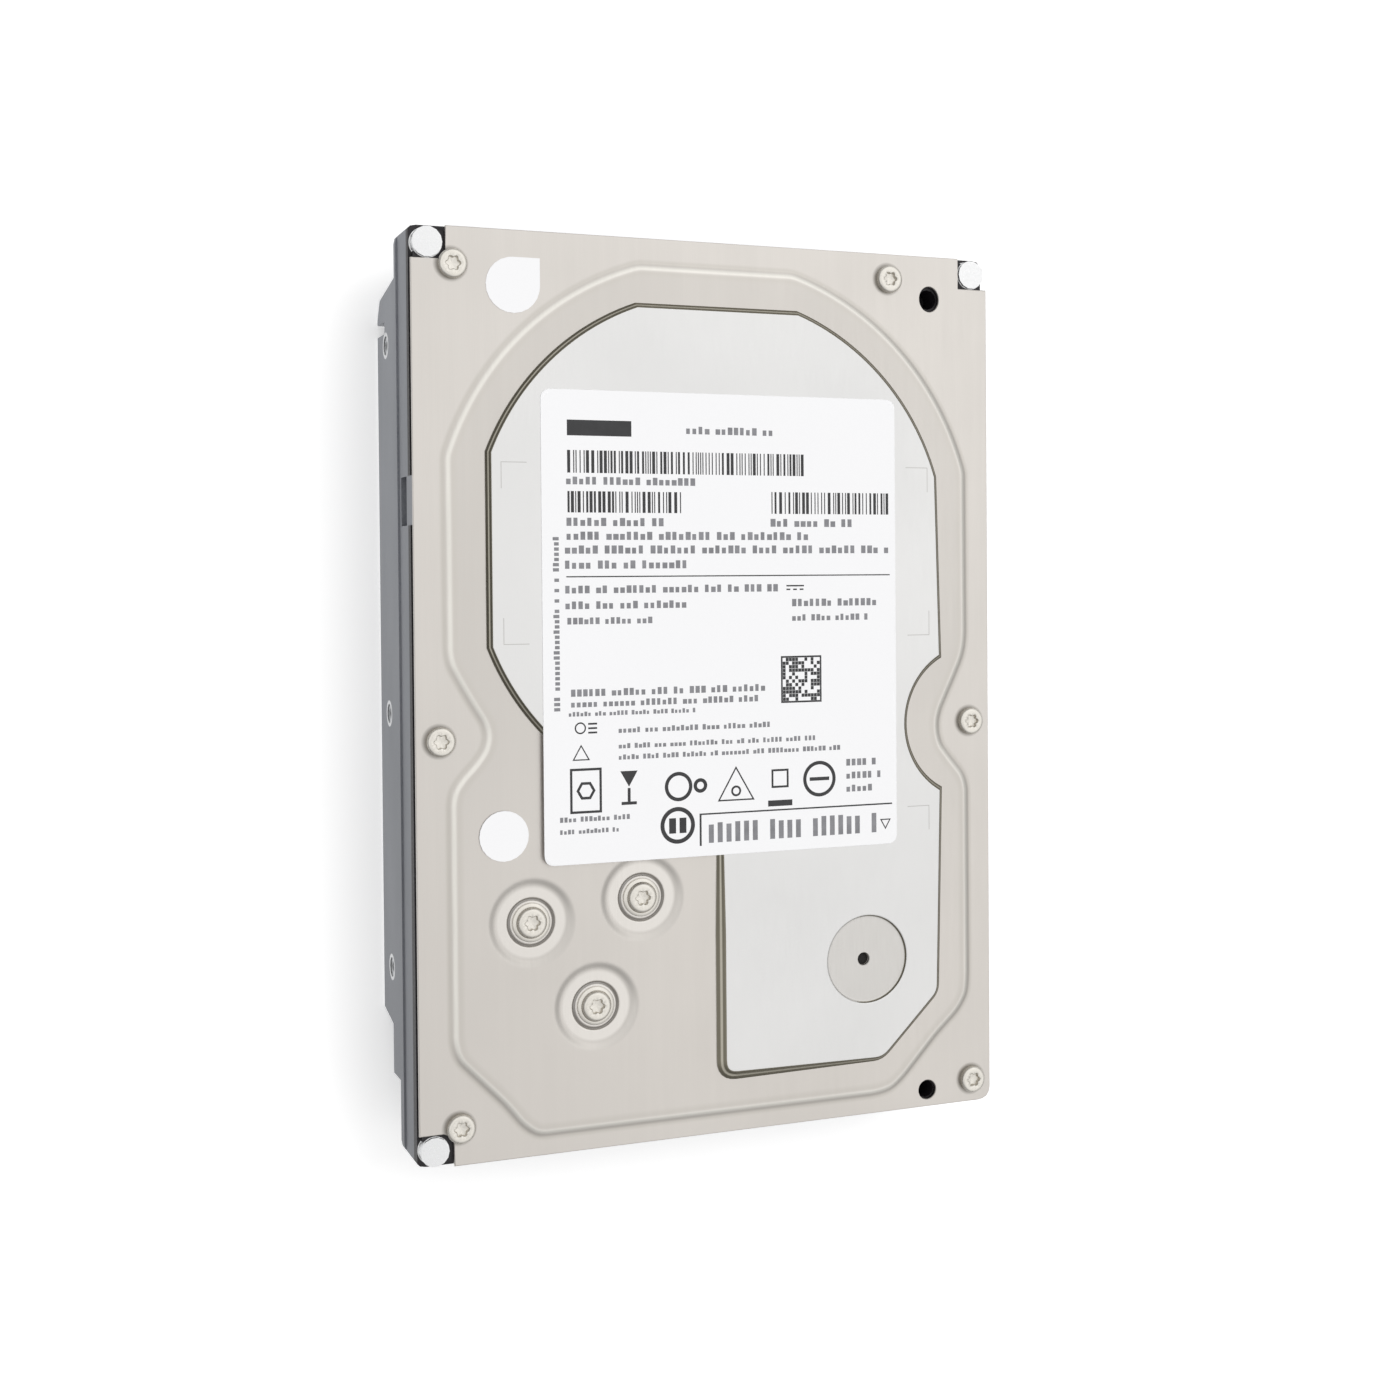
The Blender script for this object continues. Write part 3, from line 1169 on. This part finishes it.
# ------------------------------------------------------------------ underside of the board
# (radius, height below the board) of each turned pad
TRACK_END = [(0, -0.02), (0.36, -0.02), (0.36, 0.03), (0.17, 0.035), (0.15, 0.005), (0, 0.005)]
TEST_PAD = [(0, -0.02), (0.75, -0.02), (0.75, 0.03), (0.68, 0.045), (0, 0.045)]
VIA = [(0, -0.02), (0.30, -0.02), (0.30, 0.03), (0.14, 0.03), (0.12, 0.0), (0, 0.0)]
SOLDER = [(0, -0.02), (0.52, -0.02), (0.50, 0.05), (0.36, 0.16), (0.2, 0.22), (0, 0.24)]
BUNDLES = [     # start, the three legs of the first track, track count, pitch
    ((-30.0, -62.0), [(0, 14), (6, 6), (0, 16)], 9, 0.75),
    ((-14.0, -62.0), [(0, 10), (-5, 5), (0, 13)], 8, 0.75),
    ((0.0, -62.0), [(0, 8), (5, 5), (0, 12)], 7, 0.8),
    ((-30.0, -24.0), [(0, 12), (5, 5), (0, 14)], 8, 0.7),
    ((-8.0, -22.0), [(0, 8), (-4, 4), (0, 10)], 7, 0.7),
    ((10.0, -24.0), [(0, 9), (5, 5), (0, 12)], 8, 0.7),
    ((27.0, -50.0), [(0, 14), (4, 4), (0, 14)], 6, 0.8),
    ((-38.0, -38.0), [(0, 14), (3, 3), (0, 20)], 5, 0.8),
]


def clear_of_screws(x, y, distance):
    return all(math.hypot(x - a, y - b) > distance for a, b in BOARD_SCREWS)


def from_spindle(x, y):
    return math.hypot(x, y - SPINDLE[1])


def on_board(x, y):
    in_bounds = -42.4 < x < 42.4 and -63.5 < y < 14.6
    return clear_of_screws(x, y, 3.4) and in_bounds and from_spindle(x, y) > 19.4


def bundle_tracks():
    """Polylines of all bundles: parallel tracks with 45 degree bends and staggered ends."""
    for (start_x, start_y), legs, count, pitch in BUNDLES:
        side = 1.0 if legs[1][0] > 0 else -1.0
        for k in range(count):
            x, y, stagger = start_x + pitch * k, start_y, (k % 3) * 0.9
            points = [(x, y + stagger)]
            for j, (dx, dy) in enumerate(legs):
                x, y = x + dx, y + dy - (side * 0.414 * pitch * k if j == 0 else 0.0)
                points.append((x, y + (stagger if j == len(legs) - 1 else 0.0)))
            if all(on_board(*p) for p in points):
                yield points


def strip(points, width):
    """Outline of a flat strip along a polyline."""
    left, right = [], []
    for i, (x, y) in enumerate(points):
        before, after = points[max(i - 1, 0)], points[min(i + 1, len(points) - 1)]
        dx, dy = after[0] - before[0], after[1] - before[1]
        length = math.hypot(dx, dy)
        side_x, side_y = -dy / length * width / 2, dx / length * width / 2
        left.append((x + side_x, y + side_y))
        right.append((x - side_x, y - side_y))
    return left + right[::-1]


def build_board_details():
    tracks, pads = Solids(), Solids()
    random = np.random.RandomState(5)

    def pad(x, y, profile, sides):
        pads.lathe(x, y, profile, sides, z0=BOARD_Z, flip=True)

    for points in bundle_tracks():
        tracks.prism(strip(points, 0.32), BOARD_Z + 0.02, BOARD_Z - 0.025)
        for end in (points[0], points[-1]):
            pad(*end, TRACK_END, 14)
    # scattered round pads
    for column_x in np.arange(-36.0, 37.0, 8.0):
        for row_y in (-30.5, -5.5, 8.0):
            x = column_x + random.uniform(-1.5, 1.5)
            y = row_y + random.uniform(-1.2, 1.2)
            if clear_of_screws(x, y, 3.9) and from_spindle(x, y) > 20.4:
                pad(x, y, TEST_PAD, 20)
    # grid of vias
    for i in range(6):
        for j in range(6):
            pad(8.0 + 2.0 * i, -38.0 + 2.0 * j, VIA, 12)
    # soldered tails in two rows behind the connector
    for k in range(22):
        pad(-34.0 + 1.93 * k, -62.9 if k % 2 else -61.4, SOLDER, 16)
    # spindle motor contact block
    for k in range(4):
        pads.box(-3.9 + 2.1 * k, -2.5 + 2.1 * k, 1.4, 3.6, 0.90, 1.02, bevel=0.03)
    board_track()
    tracks.make("board_tracks", MATERIALS["board_track"], "board_green")
    pads.make("board_pads", MATERIALS["contact_gold"], "bright_nickel")


build_board_details()


# ------------------------------------------------------------------ threads in the mounting holes
def build_threads():
    outer, inner, pitch, sides = 1.585, 1.36, 0.79, 28
    thread = [(0.0, outer), (0.25, inner), (0.45, inner), (0.7, outer)]  # share of pitch, radius
    solids = Solids()

    def add_thread(place, depth):
        """Ridged sleeve; place(depth, across, across) gives its points in the drive."""
        rows = [(0.25 + (turn + share) * pitch, radius)
                for turn in range(int(depth / pitch)) for share, radius in thread]
        rows += [(d, outer + 0.04) for d in (rows[-1][0], rows[0][0])]
        verts, faces = [], []
        for k, (d, radius) in enumerate(rows):
            after = (k + 1) % len(rows)
            for i in range(sides):
                a = 2 * math.pi * i / sides
                j = (i + 1) % sides
                verts.append(place(d, radius * math.cos(a), radius * math.sin(a)))
                faces.append((k * sides + i, k * sides + j, after * sides + j,
                              after * sides + i))
        solids.add(verts, faces)

    for side in (-1, 1):
        for y in SIDE_HOLE_Y:
            add_thread(lambda d, u, w: (side * (50.8 - d), y + u, SIDE_HOLE_Z + w * side), 4.0)
    for x in (-BOTTOM_HOLE_X, BOTTOM_HOLE_X):
        for y in BOTTOM_HOLE_Y:
            add_thread(lambda d, u, w: (x + u, y - w, d), 3.8)
    solids.make("mounting_threads", MATERIALS["machined_aluminium"], "machined_aluminium")


build_threads()


# ------------------------------------------------------------------ flex cable
def smooth_path(keys, steps):
    """Centripetal Catmull-Rom curve through the keys."""
    def blend(a, b, time_a, time_b, time):
        return (a * ((time_b - time) / (time_b - time_a))
                + b * ((time - time_a) / (time_b - time_a)))

    points = [Vector(p) for p in keys]
    points = [points[0] * 2 - points[1]] + points + [points[-1] * 2 - points[-2]]
    path = []
    for p0, p1, p2, p3 in zip(points, points[1:], points[2:], points[3:]):
        t0 = 0.0
        t1 = t0 + (p1 - p0).length ** 0.5
        t2 = t1 + (p2 - p1).length ** 0.5
        t3 = t2 + (p3 - p2).length ** 0.5
        for k in range(steps):
            t = t1 + (t2 - t1) * k / steps
            a1 = blend(p0, p1, t0, t1, t)
            a2 = blend(p1, p2, t1, t2, t)
            a3 = blend(p2, p3, t2, t3, t)
            b1 = blend(a1, a2, t0, t2, t)
            b2 = blend(a2, a3, t1, t3, t)
            path.append(blend(b1, b2, t1, t2, t))
    return path + [points[-2]]


def build_flex():
    """Upright ribbon that bends with the actuator."""
    keys = [    # x, y from the housing to the actuator
        (9.0, -46.9), (13.0, -46.7), (16.4, -43.6), (16.2, -38.6), (11.6, -35.6), (5.0, -36.6),
        (-0.5, -38.8), (-3.5, -40.8)]
    heights = [12.25, 12.5, 13.6, 14.8, 15.9, 17.0, 18.2, 19.3, 19.55]
    half = 0.11     # half thickness
    path = smooth_path(keys, 9)
    last = len(path) - 1
    verts, faces = [], []
    for i, p in enumerate(path):
        ahead = (path[min(i + 1, last)] - path[max(i - 1, 0)]).normalized()
        side = Vector((-ahead.y, ahead.x))
        verts += [(p.x + side.x * half, p.y + side.y * half, z) for z in heights]
        verts += [(p.x - side.x * half, p.y - side.y * half, z) for z in reversed(heights)]
    around = 2 * len(heights)
    for i in range(last):
        for k in range(around):
            j = (k + 1) % around
            faces.append((i * around + k, (i + 1) * around + k, (i + 1) * around + j,
                          i * around + j))
    faces.append(tuple(range(around)))
    faces.append(tuple(last * around + k for k in reversed(range(around))))
    obj = make_object("flex_ribbon", verts, faces, [MATERIALS["amber_film"]],
                      body=None)
    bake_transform(obj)
    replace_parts(obj, "flex_cable")


build_flex()


# ------------------------------------------------------------------ camera (metres)
def build_camera():
    right = (0.927178, -0.007614, 0.374543)
    up = (0.013492, 0.999824, -0.013072)
    back = (-0.374377, 0.017174, 0.927118)
    data = bpy.data.cameras.new("view_camera")
    camera = bpy.data.objects.new("view_camera", data)
    SCENE.collection.objects.link(camera)
    place = Matrix((right, up, back)).transposed().to_4x4()
    place.translation = Vector((-0.112868, 0.017910, 0.307084))
    camera.matrix_world = place
    data.sensor_width = 36.0
    data.sensor_fit = "HORIZONTAL"
    data.lens = 47.53738286
    data.shift_x = -0.0180114286
    data.shift_y = -0.0626014286
    data.clip_start, data.clip_end = 0.01, 20.0
    SCENE.camera = camera


build_camera()


# ------------------------------------------------------------------ floor and light (metres)
SCENE.view_settings.view_transform = "Standard"
SCENE.view_settings.look = "None"
SCENE.view_settings.exposure = 0.0


def floor_paper():
    """Pale paper to the camera, an even glow to everything else, see-through from below."""
    look = Look("floor_paper", (0.93, 0.93, 0.93), metallic=0.0, roughness=0.9)
    look.color(look.mix(look.noise(40.0, detail=2), (0.92, 0.92, 0.92), (0.94, 0.94, 0.94)))
    look.shader.inputs["Emission Color"].default_value = (1, 1, 1, 1)
    look.shader.inputs["Emission Strength"].default_value = 0.30
    seen = look.node("ShaderNodeLightPath").outputs["Is Camera Ray"]
    below = look.node("ShaderNodeNewGeometry").outputs["Backfacing"]
    glow = look.node("ShaderNodeEmission", {"Color": (0.95, 0.955, 0.96), "Strength": 0.85})
    clear = look.node("ShaderNodeBsdfTransparent")
    above = look.node("ShaderNodeMixShader",
                      {0: seen, 1: glow.outputs[0], 2: look.shader.outputs[0]})
    both = look.node("ShaderNodeMixShader", {0: below, 1: above.outputs[0], 2: clear.outputs[0]})
    put(look.tree, look.output.inputs["Surface"], both.outputs[0])
    return look.material


def build_floor():
    half, z = 3.0, -0.0002
    mesh = bpy.data.meshes.new("floor")
    corners = [(x, y, z) for x, y in rect(-half, -half, half, half)]
    mesh.from_pydata(corners, [], [(0, 1, 2, 3)])
    floor = bpy.data.objects.new("floor", mesh)
    SCENE.collection.objects.link(floor)
    mesh.materials.append(floor_paper())


# (cosine of the angle from the source's direction, brightness)
DOME = ((0.12, 0.03, 0.99), [(0.0, 0.20), (0.25, 0.30), (0.50, 0.42), (0.68, 0.58),
                             (0.82, 0.80), (0.90, 0.93), (1.0, 0.95)])
SOFT_SOURCES = [    # direction, then the same pairs: overhead and four round the sides
    ((-0.12, 0.02, 0.99), [(0.0, 0.0), (0.93, 0.0), (0.985, 0.03), (1.0, 0.035)]),
    ((-0.62, -0.08, 0.78), [(0.0, 0.0), (0.89, 0.0), (0.94, 0.20), (0.98, 0.34), (1.0, 0.36)]),
    ((-0.26, 0.64, 0.72), [(0.0, 0.0), (0.89, 0.0), (0.94, 0.18), (0.98, 0.30), (1.0, 0.32)]),
    ((0.38, 0.70, 0.60), [(0.0, 0.0), (0.88, 0.0), (0.94, 0.18), (0.98, 0.30), (1.0, 0.32)]),
    ((0.36, -0.66, 0.66), [(0.0, 0.0), (0.86, 0.0), (0.94, 0.09), (1.0, 0.14)]),
]


def build_world():
    """One wide soft source overhead that falls off to the horizon, with smaller ones added."""
    world = bpy.data.worlds.new("studio")
    SCENE.world = world
    world.use_nodes = True
    tree = world.node_tree
    tree.nodes.clear()
    output = add_node(tree, "ShaderNodeOutputWorld")
    background = add_node(tree, "ShaderNodeBackground", {"Strength": 1.0})
    put(tree, output.inputs[0], background.outputs[0])
    ray = add_node(tree, "ShaderNodeTexCoord").outputs["Generated"]
    x, y, z = add_node(tree, "ShaderNodeSeparateXYZ", {0: ray}).outputs
    pale = (0.93, 0.93, 0.93)

    def calc(operation, a, b):
        return add_node(tree, "ShaderNodeMath", {0: a, 1: b}, operation=operation).outputs[0]

    def combine(operation, a, b):
        node = add_node(tree, "ShaderNodeVectorMath", {0: a, 1: b}, operation=operation)
        return node.outputs[0]

    def source(direction, stops):
        cosine = add_node(tree, "ShaderNodeVectorMath",
                          {0: ray, 1: Vector(direction).normalized()}, operation="DOT_PRODUCT")
        ramp = add_node(tree, "ShaderNodeValToRGB", {0: cosine.outputs["Value"]})
        elements = ramp.color_ramp.elements
        for element, (position, value) in zip(elements, (stops[0], stops[-1])):
            element.position, element.color = position, (value, value, value, 1)
        for position, value in stops[1:-1]:
            elements.new(position).color = (value, value, value, 1)
        return ramp.outputs[0]

    # the dome is brighter towards +x, and less so towards +y and between the two x limits
    lean = map_range(tree, x, (0.12, 0.55), (0.0, 0.24))
    low = calc("SUBTRACT", map_range(tree, y, (-0.12, 0.22), (0.0, 0.13)),
               map_range(tree, x, (0.34, 0.16), (0.0, 0.10)))
    gain = calc("ADD", 0.955, calc("ADD", lean, low))
    sky = combine("MULTIPLY", source(*DOME), gain)
    for direction, stops in SOFT_SOURCES:
        sky = combine("ADD", sky, source(direction, stops))
    lit = mix_colors(tree, calc("LESS_THAN", z, 0.0), sky, pale)
    # seen directly, the studio is one plain pale tone
    seen = add_node(tree, "ShaderNodeLightPath").outputs["Is Camera Ray"]
    put(tree, background.inputs["Color"], mix_colors(tree, seen, lit, pale))


def area_light(name, place, size, energy, color=(1, 1, 1)):
    """Disc light aimed at the origin, hidden from the camera and from reflections."""
    data = bpy.data.lights.new(name, "AREA")
    data.shape = "DISK"
    data.size = size
    data.energy = energy
    data.color = color
    light = bpy.data.objects.new(name, data)
    light.location = place
    light.rotation_mode = "QUATERNION"
    light.rotation_quaternion = (Vector((0, 0, 0)) - Vector(place)).to_track_quat("-Z", "Y")
    light.visible_camera = False
    light.visible_glossy = False
    SCENE.collection.objects.link(light)


build_floor()
build_world()
area_light("key_light", (0.35, 0.45, 1.1), size=0.7, energy=3.6, color=(1.0, 0.99, 0.975))
area_light("fill_light", (-0.7, -0.3, 0.9), size=0.6, energy=1.8)
